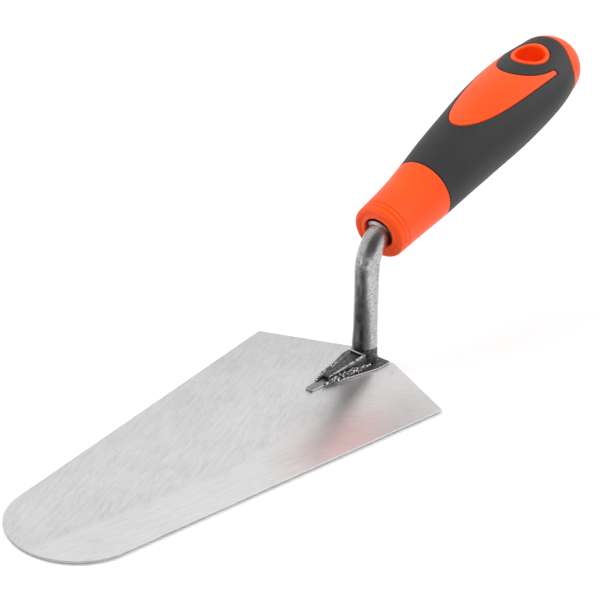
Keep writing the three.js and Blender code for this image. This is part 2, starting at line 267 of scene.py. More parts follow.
def tube(name, rings, smooth_angle=40):
    """A closed skin over rings of points, all with the same number of points."""
    sides = len(rings[0])
    points = [p for ring in rings for p in ring]
    faces = []
    for r in range(len(rings) - 1):
        for c in range(sides):
            d = (c + 1) % sides
            low = r * sides
            faces.append((low + c, low + d, low + sides + d, low + sides + c))
    faces.append(tuple(range(sides)))
    faces.append(tuple(range(len(points) - sides, len(points))))
    return new_object(name, points, faces, smooth_angle)


# ---------- blade and shoe ----------
def build_blade():
    """The flat plate: short heel, two shoulders, straight sides and a round nose."""
    half = BLADE_WIDTH / 2
    centre = BLADE_NOSE_RADIUS - BLADE_NOSE
    tangent = math.atan2(half, -centre) + math.acos(BLADE_NOSE_RADIUS / math.hypot(centre, half))
    steps = 72
    corners = [(BLADE_HEEL, -BLADE_HEEL_WIDTH / 2), (BLADE_HEEL, BLADE_HEEL_WIDTH / 2), (0, half)]
    for k in range(steps + 1):
        angle = tangent + (2 * math.pi - 2 * tangent) * k / steps
        x = centre + BLADE_NOSE_RADIUS * math.cos(angle)
        corners.append((x, BLADE_NOSE_RADIUS * math.sin(angle), 0))
    corners.append((0, -half))
    outline = rounded_outline(corners, CORNER_RADIUS)
    eased = drawn_in(outline, RIM_EASE[0])
    levels = [(eased, 0), (outline, RIM_EASE[1]), (outline, BLADE_THICKNESS)]
    return bevel(slab("blade_ground", levels), 0.15, 2, 50)


def build_shoe():
    """The thin pointed plate under the tang's foot."""
    corners = SHOE_OUTLINE + [(x, -y) for x, y in reversed(SHOE_OUTLINE)]
    outline = rounded_outline(corners, 0.7)
    shoe = slab("foot_plate_forged", [(outline, SHOE_BOTTOM), (outline, SHOE_TOP)])
    return bevel(shoe, 0.22, 3, 50)


# ---------- tang ----------
ALONG = np.array([math.cos(PITCH), 0, math.sin(PITCH)])
UPRIGHT = np.array([-math.sin(ROD_LEAN), 0, math.cos(ROD_LEAN)])
SIDEWAYS = np.array([0.0, 1.0, 0.0])


def rod_path():
    """Centre and heading at a distance along the rod, with its lengths, as in the CAD model."""
    turn = math.acos(float(UPRIGHT @ ALONG))
    base = np.array([ROD_BASE_X, 0, 0])
    offset = MOUTH - base
    cross = UPRIGHT[0] * ALONG[2] - UPRIGHT[2] * ALONG[0]
    rise = (offset[0] * ALONG[2] - offset[2] * ALONG[0]) / cross
    corner = base + UPRIGHT * rise
    set_back = ROD_BEND_RADIUS * math.tan(turn / 2)
    bend_start = corner - UPRIGHT * set_back
    bend_end = corner + ALONG * set_back
    end = MOUTH + ALONG * ROD_INSERT
    to_centre = np.array([UPRIGHT[2], 0, -UPRIGHT[0]])
    centre = bend_start + to_centre * ROD_BEND_RADIUS
    straight = float(np.linalg.norm(bend_start - base))
    arc = ROD_BEND_RADIUS * turn
    total = straight + arc + float(np.linalg.norm(end - bend_end))

    def at(distance):
        if distance < straight:
            return base + UPRIGHT * distance, UPRIGHT
        if distance < straight + arc:
            angle = (distance - straight) / ROD_BEND_RADIUS
            heading = UPRIGHT * math.cos(angle) + to_centre * math.sin(angle)
            spoke = -to_centre * math.cos(angle) + UPRIGHT * math.sin(angle)
            return centre + spoke * ROD_BEND_RADIUS, heading
        return bend_end + ALONG * (distance - straight - arc), ALONG

    return at, total


def smoothstep(value, low, high):
    """A soft rise from 0 at low to 1 at high."""
    t = np.clip((value - low) / (high - low), 0, 1)
    return t * t * (3 - 2 * t)


def rod_rings(sides=56):
    """Rings of the tang from its foot, round the bend, to its flattened buried end."""
    at, total = rod_path()
    flat_start = total - ROD_FLAT_LENGTH
    mouth = total - ROD_INSERT
    stations = np.concatenate([
        np.arange(0, 14, 0.3),
        np.arange(14, mouth + 0.8, 0.7),
        mouth + np.array([0.9, 1.0, 1.1, 1.2, 1.3, 2.5, 6.3, 6.4, 6.5, 6.6, 6.7]),
        np.arange(mouth + 8, flat_start, 3.0),
        np.linspace(flat_start, flat_start + ROD_FLAT_TAPER, 8),
        [total - ROD_END_ROUND, total - 0.25, total],
    ])
    rings = []
    for distance in stations:
        centre, heading = at(distance)
        upward = np.cross(heading, SIDEWAYS)
        flat = smoothstep(distance, flat_start, flat_start + ROD_FLAT_TAPER)
        flare = 0.3 * (1 - smoothstep(distance, 9.0, 18.0))
        flare -= NECK_DEPTH * math.exp(-(((distance - NECK_AT) / NECK_WIDTH) ** 2))
        into_mouth = distance - mouth
        flare += SHOULDER * (smoothstep(into_mouth, 0.9, 1.3) - smoothstep(into_mouth, 6.3, 6.7))
        into_end = min(max(0.0, distance - total + ROD_END_ROUND), ROD_END_ROUND - 0.01)
        end = ROD_END_ROUND - math.sqrt(ROD_END_ROUND**2 - into_end**2)
        width = ROD_RADIUS + flare + ROD_FLAT_WIDEN * flat - end
        height = ROD_RADIUS + flare - ROD_FLAT_THIN * flat - end
        ring = []
        for c in range(sides):
            angle = 2 * math.pi * c / sides
            out = SIDEWAYS * math.sin(angle) + upward * math.cos(angle)
            place = centre + SIDEWAYS * width * math.sin(angle) + upward * height * math.cos(angle)
            dent = 0.05 * noise.noise(Vector(place) * 0.16) + 0.02 * noise.noise(Vector(place) * 0.7)
            ring.append(place + out * dent)
        rings.append(ring)
    return rings


def build_rib():
    """The tapering rib in front of the rod, with softened edges and a hammered skin."""
    points = []
    for end in (RIB_TOE, RIB_ROOT):
        x = end["x"]
        base, top = end["base_half"], end["top_half"]
        points += [(x, -base, 0), (x, base, 0), (x, top, end["top"]), (x, -top, end["top"])]
    faces = [(0, 1, 2, 3), (4, 5, 6, 7)]
    faces += [(i, (i + 1) % 4, 4 + (i + 1) % 4, 4 + i) for i in range(4)]
    rib = bevel(new_object("rib", points, faces), 0.42, 3)
    bm = bmesh.new()
    bm.from_mesh(rib.data)
    bmesh.ops.subdivide_edges(bm, edges=[e for e in bm.edges if e.calc_length() > 1.2 * MM],
                              cuts=7, use_grid_fill=True)
    bmesh.ops.triangulate(bm, faces=bm.faces)
    for v in bm.verts:
        size = 0.10 * noise.noise(v.co * 420) + 0.05 * noise.noise(v.co * 1300)
        v.co += v.normal * size * MM
    bm.to_mesh(rib.data)
    bm.free()
    return rib


def build_ledge():
    """The small raised ledge across the top of the rib, against the rod."""
    rings = []
    for step, share in ((-1.0, 0.35), (-0.94, 0.8), (-0.8, 1.0), (0.8, 1.0), (0.94, 0.8), (1.0, 0.35)):
        ring = []
        for c in range(16):
            angle = 2 * math.pi * c / 16
            x = LEDGE["x"] + LEDGE["radius"] * share * math.cos(angle)
            z = LEDGE["z"] + LEDGE["radius"] * share * math.sin(angle)
            ring.append((x, step * LEDGE["half"], z))
        rings.append(ring)
    return tube("ledge", rings)


def cut_below(obj, height):
    """Removes what lies under a height and closes the cut."""
    bm = bmesh.new()
    bm.from_mesh(obj.data)
    everything = list(bm.verts) + list(bm.edges) + list(bm.faces)
    cut = bmesh.ops.bisect_plane(bm, geom=everything, plane_co=(0, 0, height * MM),
                                 plane_no=(0, 0, 1), clear_inner=True, dist=1e-7)
    edges = [g for g in cut["geom_cut"] if isinstance(g, bmesh.types.BMEdge)]
    bmesh.ops.holes_fill(bm, edges=edges)
    bmesh.ops.recalc_face_normals(bm, faces=bm.faces)
    bm.to_mesh(obj.data)
    bm.free()
    obj.data.shade_smooth()
    obj.data.set_sharp_from_angle(angle=math.radians(40))
    return obj


def build_tang():
    """The rod with its rib and ledge, cut off level just above the plate."""
    rod = tube("tang_forged", rod_rings())
    for added in (build_rib(), build_ledge()):
        union = rod.modifiers.new("union", "BOOLEAN")
        union.operation = "UNION"
        union.solver = "EXACT"
        union.object = added
        apply_modifiers(rod)
        bpy.data.objects.remove(added)
    return cut_below(rod, SHOE_TOP + SEAT_GAP)


# ---------- welds ----------
def build_weld(name, bead_radius, centre_at, ripples, seed):
    """A bead of overlapping scales along a line, uneven as a hand weld is."""
    steps = 84
    sides = 26
    rings = []
    for r in range(steps + 1):
        t = r / steps
        centre, outward = centre_at(t)
        end = math.sin(math.pi * min(max(t, 0.03), 0.97)) ** 0.4
        phase = (t * ripples) % 1.0
        scale = 0.80 + 0.30 * math.sin(math.pi * phase) ** 0.6
        ring = []
        for c in range(sides):
            angle = 2 * math.pi * c / sides
            out = outward * math.sin(angle) + np.array([0, 0, math.cos(angle)])
            spot = Vector(centre) + Vector(out) * bead_radius + Vector((seed * 7.3, seed * 3.1, 0))
            lump = 1 + 0.22 * noise.noise(spot * 0.55) + 0.16 * noise.noise(spot * 1.5)
            ring.append(centre + out * bead_radius * end * scale * lump)
        rings.append(ring)
    return cut_below(tube(name, rings, 60), SHOE_TOP + SEAT_GAP)


def side_line(side):
    """The line of the weld along one side of the rib, and the weld's outward side."""
    start = np.array([WELD_FROM, side * (RIB_ROOT["base_half"] + 0.35), SHOE_TOP])
    finish = np.array([WELD_TO, side * (RIB_TOE["base_half"] + 0.35), SHOE_TOP])
    heading = (finish - start) / np.linalg.norm(finish - start)
    outward = np.cross(heading, [0, 0, 1])
    return lambda t: (start + (finish - start) * t, outward)


def heel_line():
    """The arc of the weld round the back of the rod."""
    middle = ROD_BASE_X - SHOE_TOP * math.tan(ROD_LEAN)

    def at(t):
        angle = -HEEL_SWEEP + 2 * HEEL_SWEEP * t
        outward = np.array([math.cos(angle), math.sin(angle), 0])
        return np.array([middle, 0, SHOE_TOP]) + outward * ROD_RADIUS, outward

    return at


# ---------- handle ----------
def section_curve(x):
    """The CAD model's cubic curve through SECTIONS, at an array of distances."""
    x = np.asarray(x, float)
    knots = SECTIONS[:, 0]
    last = len(knots) - 1
    i1 = np.clip(np.searchsorted(knots, x, side="right"), 1, last)
    i0 = i1 - 1
    before = np.where(i0 > 0, i0 - 1, i1)
    after = np.where(i1 < last, i1 + 1, i0)
    t0, t1 = knots[i0], knots[i1]
    weight_before = (t1 - t0) / 2 / (t0 - knots[before])
    weight_after = (t1 - t0) / 2 / (knots[after] - t1)
    p = (x - t0) / (t1 - t0)
    share_before = -weight_before * p**3 + 2 * weight_before * p**2 - weight_before * p
    share0 = (1 + weight_before) * p**3 + (-1.5 - 2 * weight_before) * p**2
    share0 += (-0.5 + weight_before) * p + 1
    share1 = (-1 - weight_after) * p**3 + (1.5 + weight_after) * p**2 + 0.5 * p
    share_after = weight_after * p**3 - weight_after * p**2
    values = SECTIONS[:, 1:]
    return (share_before[..., None] * values[before] + share0[..., None] * values[i0]
            + share1[..., None] * values[i1] + share_after[..., None] * values[after])


def handle_section(x):
    """Half height, half width and rise at distances from the mouth, lip and dome included."""
    x = np.asarray(x, float)
    height, width, rise = np.moveaxis(section_curve(np.clip(x, 0, DOME_START)), -1, 0)
    back = np.clip(1 - x / LIP, 0, 1)
    shrink = np.where(x < LIP, LIP * (1 - np.sqrt(1 - back * back * 0.98)), 0)
    part = np.clip((x - DOME_START) / (HANDLE_LENGTH - DOME_START), 0, 1)
    share = np.maximum((1 - part**DOME_POWER) ** (1 / DOME_POWER), DOME_FLAT)
    groove = np.zeros_like(x)
    for place in GROOVE_PLACES:
        offset = np.clip((x - place) / (GROOVE_WIDTH / 2), -1, 1)
        groove += GROOVE_DEPTH * (0.5 + 0.5 * np.cos(math.pi * offset))
    inset = (groove + SKIN_INSET) * share
    return (height - shrink) * share - inset, (width - shrink) * share - inset, rise


def skin_point(x, angle):
    """Points of the handle's skin at distances and angles, in the handle's frame."""
    height, width, rise = handle_section(x)
    return np.stack([x, width * np.sin(angle), rise + height * np.cos(angle)], -1)


def skin_normal(x, angle):
    """Outward unit normals by small differences; the very end points along the handle."""
    step = 0.02
    low = np.maximum(x - step, 0)
    high = np.minimum(x + step, HANDLE_LENGTH)
    along = skin_point(high, angle) - skin_point(low, angle)
    around = skin_point(x, angle + 0.002) - skin_point(x, angle - 0.002)
    normal = np.cross(around, along)
    radial = np.stack([np.zeros_like(x), np.sin(angle), np.cos(angle)], -1)
    flip = np.sign(np.sum(normal * radial, -1, keepdims=True))
    normal = normal * np.where(flip == 0, 1, flip)
    return normal / np.maximum(np.linalg.norm(normal, axis=-1, keepdims=True), 1e-12)


def panel_outline():
    """The teardrop in plan: its nose, two horns, and the oval that parts it from the eyelet."""
    nose = np.array([PANEL_NOSE, 0.0])
    control = np.array([PANEL_NOSE, -PANEL_BULGE])
    waist = np.array([PANEL_WAIST[0], -PANEL_WAIST[1]])
    horn = np.array([PANEL_HORN[0], -PANEL_HORN[1]])
    t = np.linspace(0, 1, 160)[:, None]
    side = (1 - t)**3 * nose + 3 * (1 - t)**2 * t * control + 3 * (1 - t) * t**2 * waist + t**3 * horn
    turn = math.acos((PANEL_HORN[0] - EYELET_AT) / PANEL_RING[0])
    angle = np.linspace(-turn, turn - 2 * math.pi, 160)
    ring = np.stack([EYELET_AT + PANEL_RING[0] * np.cos(angle), PANEL_RING[1] * np.sin(angle)], -1)
    return np.concatenate([side, ring, side[:0:-1] * [1, -1]])


def outline_distance(points, outline):
    """Signed distance in the plane to a closed outline, under 0 inside, and its direction."""
    start = outline
    edge = np.roll(outline, -1, 0) - outline
    length2 = np.maximum(np.sum(edge * edge, -1), 1e-12)
    offset = points[:, None, :] - start[None]
    share = np.clip(np.sum(offset * edge, -1) / length2, 0, 1)
    away = offset - share[..., None] * edge
    distance2 = np.sum(away * away, -1)
    nearest = np.argmin(distance2, 1)
    pick = np.arange(len(points))
    distance = np.sqrt(distance2[pick, nearest])
    direction = away[pick, nearest] / np.maximum(distance, 1e-9)[:, None]
    y0, y1 = start[:, 1], start[:, 1] + edge[:, 1]
    spans = (y0[None] > points[:, 1:]) != (y1[None] > points[:, 1:])
    slope = edge[:, 0] / np.where(edge[:, 1] == 0, 1e-12, edge[:, 1])
    crossing = start[None, :, 0] + (points[:, 1:] - y0[None]) * slope[None]
    inside = np.sum(spans & (points[:, :1] < crossing), 1) % 2 == 1
    sign = np.where(inside, -1.0, 1.0)
    return sign * distance, direction * sign[:, None]


def plastic_border(points, normals, rise):
    """How far each point of the skin lies from the hard plastic: under 0 on it, over 0 on the grip."""
    def on_surface(distance, direction, facing=normals):
        slant = 1 - np.sum(direction * facing, -1)**2
        return distance / np.sqrt(np.clip(slant, LEAST_SLANT, 1))

    x, y, z = points.T
    zero = np.zeros_like(x)
    collar = on_surface(x - COLLAR_LENGTH, np.stack([zero + 1, zero, zero], -1))
    reach = np.maximum(np.hypot(x - EYELET_AT, y), 1e-6)
    out = np.stack([(x - EYELET_AT) / reach, y / reach, zero], -1)
    eyelet = on_surface(reach - EYELET_RADIUS, out)
    centre = BUTT_AT + BUTT_RADIUS
    spoke = np.maximum(np.hypot(x - centre, z - BUTT_LEVEL), 1e-6)
    out = np.stack([(x - centre) / spoke, zero, (z - BUTT_LEVEL) / spoke], -1)
    butt = on_surface(spoke - BUTT_RADIUS, out)
    butt = np.where(x > centre, -FAR, butt)
    panel = np.full_like(x, FAR)
    outline = panel_outline()
    near = np.flatnonzero((z > rise) & (x > PANEL_NOSE - 5) & (x < PANEL_HORN[0] + 5))
    for part in np.array_split(near, 12):
        distance, direction = outline_distance(points[part, :2], outline)
        direction = np.concatenate([direction, np.zeros((len(part), 1))], 1)
        panel[part] = on_surface(distance, direction, normals[part])
    return np.minimum(np.minimum(collar, eyelet), np.minimum(butt, panel))


def core_rows():
    """Rows of the hard core from the bore's end, out of the mouth, over the skin to the butt."""
    bore = ROD_RADIUS + BORE_GAP
    thin = bore - ROD_FLAT_THIN
    wide = bore + ROD_FLAT_WIDEN
    flat_end = ROD_INSERT + BORE_GAP
    flat_start = ROD_INSERT - ROD_FLAT_LENGTH
    rows = [(flat_end, thin, wide), (flat_start + ROD_FLAT_TAPER, thin, wide), (flat_start, bore, bore)]
    rows += [(RECESS_DEPTH + 0.4, bore, bore), (RECESS_DEPTH, bore + 0.3, bore + 0.3)]
    rows += [(RECESS_DEPTH, RECESS_RADIUS - 0.3, RECESS_RADIUS - 0.3)]
    rows += [(x, RECESS_RADIUS, RECESS_RADIUS) for x in (RECESS_DEPTH - 0.3, 4.0, 2.0)]
    for k in range(5):
        angle = math.pi / 2 * k / 4
        radius = RECESS_RADIUS + RECESS_ROUND * (1 - math.cos(angle))
        rows.append((RECESS_ROUND * (1 - math.sin(angle)), radius, radius))
    lip_inner = float(handle_section(0.0)[0])
    for radius, depth in ((8.2, 0), (8.4, 0.12), (8.65, 0.3), (8.9, 0.12), (9.1, 0)):
        rows.append((depth, radius, radius))
    rows.append((0.0, lip_inner - 0.3, lip_inner - 0.3))
    return [(x, height, width, 0.0) for x, height, width in rows]


def skin_stations():
    """Distances of the rings over the skin, closer at the lip, the grooves and the dome."""
    lip = LIP * (1 - np.cos(np.linspace(0, math.pi / 2, 9)))
    grooves = [place + GROOVE_WIDTH / 2 * k / 4 for place in GROOVE_PLACES for k in range(-4, 5)]
    body = np.arange(GROOVE_PLACES[-1] + GROOVE_WIDTH / 2 + 0.4, DOME_START, ROW_STEP)
    dome = DOME_START + (HANDLE_LENGTH - DOME_START) * np.sin(np.linspace(0.03, math.pi / 2, 30))
    return np.unique(np.round(np.concatenate([lip, grooves, [1.85, 3.6], body, dome]), 4))


def cut_at(bm, layer, level, snap):
    """Adds an edge line where the layer's value passes the level."""
    for v in bm.verts:
        if abs(v[layer] - level) < snap:
            v[layer] = level
    for e in list(bm.edges):
        a, b = e.verts
        low, high = a[layer] - level, b[layer] - level
        if low * high < 0 and abs(low) > ON_LEVEL and abs(high) > ON_LEVEL:
            _, v = bmesh.utils.edge_split(e, a, low / (low - high))
            v[layer] = level
    for face in list(bm.faces):
        gaps = [v[layer] - level for v in face.verts]
        signs = [0 if abs(gap) < ON_LEVEL else math.copysign(1, gap) for gap in gaps]
        if 1 not in signs or -1 not in signs:
            continue
        turns = []
        for i, sign in enumerate(signs):
            if sign == 0:
                following = signs[i + 1:] + signs[:i]
                after = next((s for s in following if s), 0)
                before = next((s for s in reversed(following) if s), 0)
                if before != after:
                    turns.append(face.verts[i])
        if len(turns) == 2:
            bmesh.utils.face_split(face, turns[0], turns[1])


def handle_mesh():
    """The whole skin with edge lines along every border, as arrays: points, borders, hole, faces."""
    angle = np.arange(COLUMNS) * 2 * math.pi / COLUMNS
    stations = skin_stations()
    inner = core_rows()
    rings = [np.stack([np.full(COLUMNS, x), w * np.sin(angle), r + h * np.cos(angle)], -1)
             for x, h, w, r in inner]
    skin = [skin_point(np.full(COLUMNS, x), angle) for x in stations]
    points = np.concatenate(rings + skin)
    first_skin = len(rings) * COLUMNS
    x = points[first_skin:, 0]
    around = np.tile(angle, len(stations))
    normals = skin_normal(x, around)
    border = np.full(len(points), -FAR)
    border[first_skin:] = plastic_border(points[first_skin:], normals, handle_section(x)[2])
    hole = np.full(len(points), FAR)
    hole[first_skin:] = np.hypot(points[first_skin:, 0] - EYELET_AT, points[first_skin:, 1])
    bm = bmesh.new()
    border_layer = bm.verts.layers.float.new("border")
    hole_layer = bm.verts.layers.float.new("hole")
    skin_layer = bm.verts.layers.float.new("skin")
    verts = []
    for i, p in enumerate(points):
        v = bm.verts.new(p)
        v[border_layer] = border[i]
        v[hole_layer] = hole[i]
        v[skin_layer] = 1.0 if i >= first_skin else 0.0
        verts.append(v)
    rows = len(points) // COLUMNS
    for r in range(rows - 1):
        for c in range(COLUMNS):
            d = (c + 1) % COLUMNS
            low = r * COLUMNS
            corners = (low + c, low + d, low + COLUMNS + d, low + COLUMNS + c)
            bm.faces.new([verts[k] for k in corners])
    bm.faces.new(verts[:COLUMNS])
    bm.faces.new(verts[-COLUMNS:])
    for level in BORDER_CUTS:
        cut_at(bm, border_layer, level, BORDER_SNAP)
    for level in HOLE_CUTS:
        cut_at(bm, hole_layer, HOLE_RADIUS + level, HOLE_SNAP)
    bm.verts.index_update()
    points = np.array([v.co for v in bm.verts])
    border = np.array([v[border_layer] for v in bm.verts])
    hole = np.array([v[hole_layer] for v in bm.verts])
    on_skin = np.array([v[skin_layer] for v in bm.verts]) > 0.999
    faces = [tuple(v.index for v in f.verts) for f in bm.faces]
    bm.free()
    return points, border, hole, on_skin, faces


def rounded_drop(distance, radius):
    """How far a rounded edge falls away at a distance inside the edge."""
    inner = np.clip(radius - distance, 0, radius)
    return radius - np.sqrt(radius**2 - inner**2)


def to_model(points):
    """From the handle's own frame into the model's frame, in millimetres."""
    x, y, z = np.asarray(points, float).T
    along = MOUTH[None] + x[:, None] * ALONG
    up = np.array([-math.sin(PITCH), 0, math.cos(PITCH)])
    return along + y[:, None] * SIDEWAYS + z[:, None] * up


def build_core(points, border, hole, on_skin, normals, faces):
    """The orange moulding: flush where it shows, and a lower floor under the grip."""
    drop = np.where(border < 0, rounded_drop(-border, EDGE_ROUND), GRIP_THICKNESS)
    edge = (border >= 0) & (border < CORE_STEP - 1e-4)
    drop = np.where(edge, EDGE_ROUND, drop)
    lift = EYELET_RAISE * (1 - smoothstep(hole, EYELET_RADIUS - 0.5, EYELET_RADIUS))
    move = np.where(on_skin, lift - drop, 0)
    placed = points + normals * move[:, None]
    mouth = rounded_drop(np.clip(hole - HOLE_RADIUS, 0, None), HOLE_ROUND)
    mouth = np.where(on_skin & (hole < HOLE_RADIUS + HOLE_ROUND), mouth, 0)
    placed[:, 2] -= np.sign(points[:, 2] - SECTIONS[-1][3]) * mouth
    bm = bmesh.new()
    verts = [bm.verts.new(p) for p in placed]
    inside = hole < HOLE_RADIUS + 1e-4
    for face in faces:
        if not all(inside[i] for i in face):
            bm.faces.new([verts[i] for i in face])
    bmesh.ops.delete(bm, geom=[v for v in bm.verts if not v.link_faces], context="VERTS")
    rim = [e for e in bm.edges if len(e.link_faces) == 1]
    middle = SECTIONS[-1][3]
    loops = []
    for top in (True, False):
        edges = [e for e in rim if (e.verts[0].co.z > middle) == top]
        level = middle + (BORE_HALF if top else -BORE_HALF)
        for share in BORE_STEPS:
            step = bmesh.ops.extrude_edge_only(bm, edges=edges)["geom"]
            edges = [g for g in step if isinstance(g, bmesh.types.BMEdge)]
            pull = share if share == 1.0 else share * BORE_EASE
            for v in step:
                if isinstance(v, bmesh.types.BMVert):
                    v.co.z += (level - v.co.z) * pull
        loops += edges
    bmesh.ops.bridge_loops(bm, edges=loops)
    bmesh.ops.triangulate(bm, faces=[f for f in bm.faces if len(f.verts) > 12])
    for v in bm.verts:
        v.co = Vector(to_model([v.co])[0]) * MM
    mesh = bpy.data.meshes.new("handle_core_moulded")
    bm.to_mesh(mesh)
    bm.free()
    return link_mesh("handle_core_moulded", mesh, 42)


def build_grip(points, border, normals, faces):
    """The soft grip: a shell with rounded rims and its own inner face."""
    start = GRIP_START - 1e-4
    chosen = [f for f in faces if all(border[i] > start for i in f)]
    used = sorted({i for f in chosen for i in f})
    number = {i: k for k, i in enumerate(used)}
    used = np.array(used)
    drop = rounded_drop(border[used] - GRIP_START, EDGE_ROUND)
    outer = points[used] - normals[used] * drop[:, None]
    inner = points[used] - normals[used] * (GRIP_THICKNESS - 0.3)
    count = len(used)
    shell = [tuple(number[i] for i in f) for f in chosen]
    edges = dict.fromkeys(pair for f in shell for pair in zip(f, f[1:] + f[:1]))
    walls = [(a, b, b + count, a + count) for a, b in edges if (b, a) not in edges]
    lining = [tuple(i + count for i in reversed(f)) for f in shell]
    placed = to_model(np.concatenate([outer, inner]))
    return new_object("soft_grip_moulded", placed, shell + walls + lining, 42)


def build_handle():
    """Both of the handle's pieces from one skin."""
    points, border, hole, on_skin, faces = handle_mesh()
    height, width, rise = handle_section(points[:, 0])
    angle = np.arctan2(points[:, 1] / width, (points[:, 2] - rise) / height)
    points = np.where(on_skin[:, None], skin_point(points[:, 0], angle), points)
    normals = skin_normal(points[:, 0], angle)
    core = build_core(points, border, hole, on_skin, normals, faces)
    grip = build_grip(points, border, normals, faces)
    return core, grip


# ---------- materials ----------
class Nodes:
    """Short calls for building one material's node tree."""

    def __init__(self, name):
        self.material = bpy.data.materials.new(name)
        self.material.use_nodes = True
        self.tree = self.material.node_tree
        self.shader = self.tree.nodes["Principled BSDF"]
        self.place = self.add("ShaderNodeTexCoord").outputs["Object"]

    def add(self, kind, **settings):
        node = self.tree.nodes.new(kind)
        for key, value in settings.items():
            setattr(node, key, value)
        return node

    def link(self, source, target):
        self.tree.links.new(source, target)

    def noise(self, scale, stretch=(1, 1, 1), turn=0.0, detail=3.0, roughness=0.55):
        """Noise with cells about 1/scale metres across, stretched and turned about Z."""
        turned = self.add("ShaderNodeMapping")
        turned.inputs["Rotation"].default_value = (0, 0, turn)
        mapping = self.add("ShaderNodeMapping")
        mapping.inputs["Scale"].default_value = stretch
        node = self.add("ShaderNodeTexNoise")
        node.inputs["Scale"].default_value = scale
        node.inputs["Detail"].default_value = detail
        node.inputs["Roughness"].default_value = roughness
        self.link(self.place, turned.inputs["Vector"])
        self.link(turned.outputs["Vector"], mapping.inputs["Vector"])
        self.link(mapping.outputs["Vector"], node.inputs["Vector"])
        return node.outputs["Fac"]

    def span(self, value, low, high, to_low=0.0, to_high=1.0, smooth=False):
        node = self.add("ShaderNodeMapRange")
        if smooth:
            node.interpolation_type = "SMOOTHSTEP"
        node.inputs["From Min"].default_value = low
        node.inputs["From Max"].default_value = high
        node.inputs["To Min"].default_value = to_low
        node.inputs["To Max"].default_value = to_high
        self.link(value, node.inputs["Value"])
        return node.outputs["Result"]

    def math(self, operation, a, b=0.0):
        """A math node; what takes one value leaves out the second."""
        node = self.add("ShaderNodeMath", operation=operation)
        for socket, value in zip(node.inputs, (a, b)):
            if isinstance(value, (int, float)):
                socket.default_value = value
            else:
                self.link(value, socket)
        return node.outputs[0]

    def mix(self, share, a, b):
        """Mixes two plain values by a share."""
        node = self.add("ShaderNodeMix", data_type="FLOAT")
        for socket, value in zip((node.inputs[0], node.inputs[2], node.inputs[3]), (share, a, b)):
            if isinstance(value, (int, float)):
                socket.default_value = value
            else:
                self.link(value, socket)
        return node.outputs[0]

    def colours(self, value, stops):
        node = self.add("ShaderNodeValToRGB")
        ramp = node.color_ramp
        while len(ramp.elements) < len(stops):
            ramp.elements.new(0.5)
        for element, (position, colour) in zip(ramp.elements, stops):
            element.position = position
            element.color = (*colour, 1)
        self.link(value, node.inputs["Fac"])
        return node.outputs["Color"]

    def bump(self, height, distance, strength=1.0):
        node = self.add("ShaderNodeBump")
        node.inputs["Strength"].default_value = strength
        node.inputs["Distance"].default_value = distance
        self.link(height, node.inputs["Height"])
        self.link(node.outputs["Normal"], self.shader.inputs["Normal"])

    def set(self, **values):
        for key, value in values.items():
            socket = self.shader.inputs[key.replace("_", " ")]
            if isinstance(value, (int, float, tuple)):
                socket.default_value = value
            else:
                self.link(value, socket)


def grey(value):
    return (value, value, value)


GRIND_FAR = math.radians(-24)  # turns the far half's streaks onto the X axis
GRIND_NEAR = math.radians(6)
GRIND_HEEL = math.radians(38)
RIDGE_START = (-0.1800, -0.0015)  # the line where the two grinds meet
RIDGE_SLOPE = -0.18
RIDGE_FLOOR = -0.0165
RIDGE_BLUR = 0.0015
HEEL_FADE = (-0.075, -0.035)  # along X, where the near grind turns into the heel's

# Along X or up Z in metres, where the tang's and the foot plate's dark and light marks come and go:
# painted dark reflection at the bend and down the front, weld scale with painted shade at the foot and
# on the plate's tongue, and a painted highlight on the ledge.
BEND_AT = 0.046
BEND_REACH = 0.007
STRIP_FADE = (0.040, 0.050)
FOOT_FADE = (0.0078, 0.0096)
TONGUE_FADE = (-0.019, -0.013)
LEDGE_BACK = (0.0051, 0.0053)


def ground_steel():
    """Flat steel ground in fine streaks, in passes that meet on a line along the blade, with painted
    shade on the far half and on the rim.
    """
    n = Nodes("ground_steel")
    parts = n.add("ShaderNodeSeparateXYZ")
    n.link(n.place, parts.inputs[0])
    line = n.math("MULTIPLY", n.math("SUBTRACT", parts.outputs["X"], RIDGE_START[0]), RIDGE_SLOPE)
    line = n.math("MAXIMUM", n.math("ADD", line, RIDGE_START[1]), RIDGE_FLOOR)
    side = n.span(n.math("SUBTRACT", parts.outputs["Y"], line), -RIDGE_BLUR, RIDGE_BLUR, smooth=True)
    heel = n.span(parts.outputs["X"], *HEEL_FADE, smooth=True)
    streaks = {}
    for key, turn in (("far", GRIND_FAR), ("near", GRIND_NEAR), ("heel", GRIND_HEEL)):
        fine = n.noise(1.0, (230, 2500, 1), turn, 4.0, 0.65)
        broad = n.noise(1.0, (80, 700, 1), turn + 0.08, 3.0, 0.55)
        streaks[key] = n.mix(0.4, fine, broad)
    near = n.mix(heel, streaks["near"], streaks["heel"])
    streak = n.mix(side, near, streaks["far"])
    cloud = n.noise(38.0, (1, 1, 1), 0.0, 4.0, 0.55)
    shade = n.mix(0.22, streak, cloud)
    # Painted shade: the far half, past the line where the grinds meet, is coloured darker than the near
    # half.
    tone = n.mix(side, n.span(shade, 0.3, 0.7, 0.22, 0.92), n.span(shade, 0.3, 0.7, 0.08, 0.80))
    # Painted shade: faces turned sideways, the blade's rim, are darkened in colour.
    face = n.add("ShaderNodeSeparateXYZ")
    n.link(n.add("ShaderNodeNewGeometry").outputs["Normal"], face.inputs[0])
    flat = n.span(n.math("ABSOLUTE", face.outputs["Z"]), 0.55, 0.85, 0.18, 1.0)
    tone = n.math("MULTIPLY", tone, flat)
    stops = ((0.0, grey(0.22)), (0.18, grey(0.63)), (0.5, grey(0.79)), (1.0, grey(0.92)))
    n.set(Base_Color=n.colours(tone, stops))
    n.set(Metallic=1.0, Roughness=n.span(streak, 0.3, 0.7, 0.30, 0.42))
    n.bump(streak, 0.00004, 0.5)
    return n.material


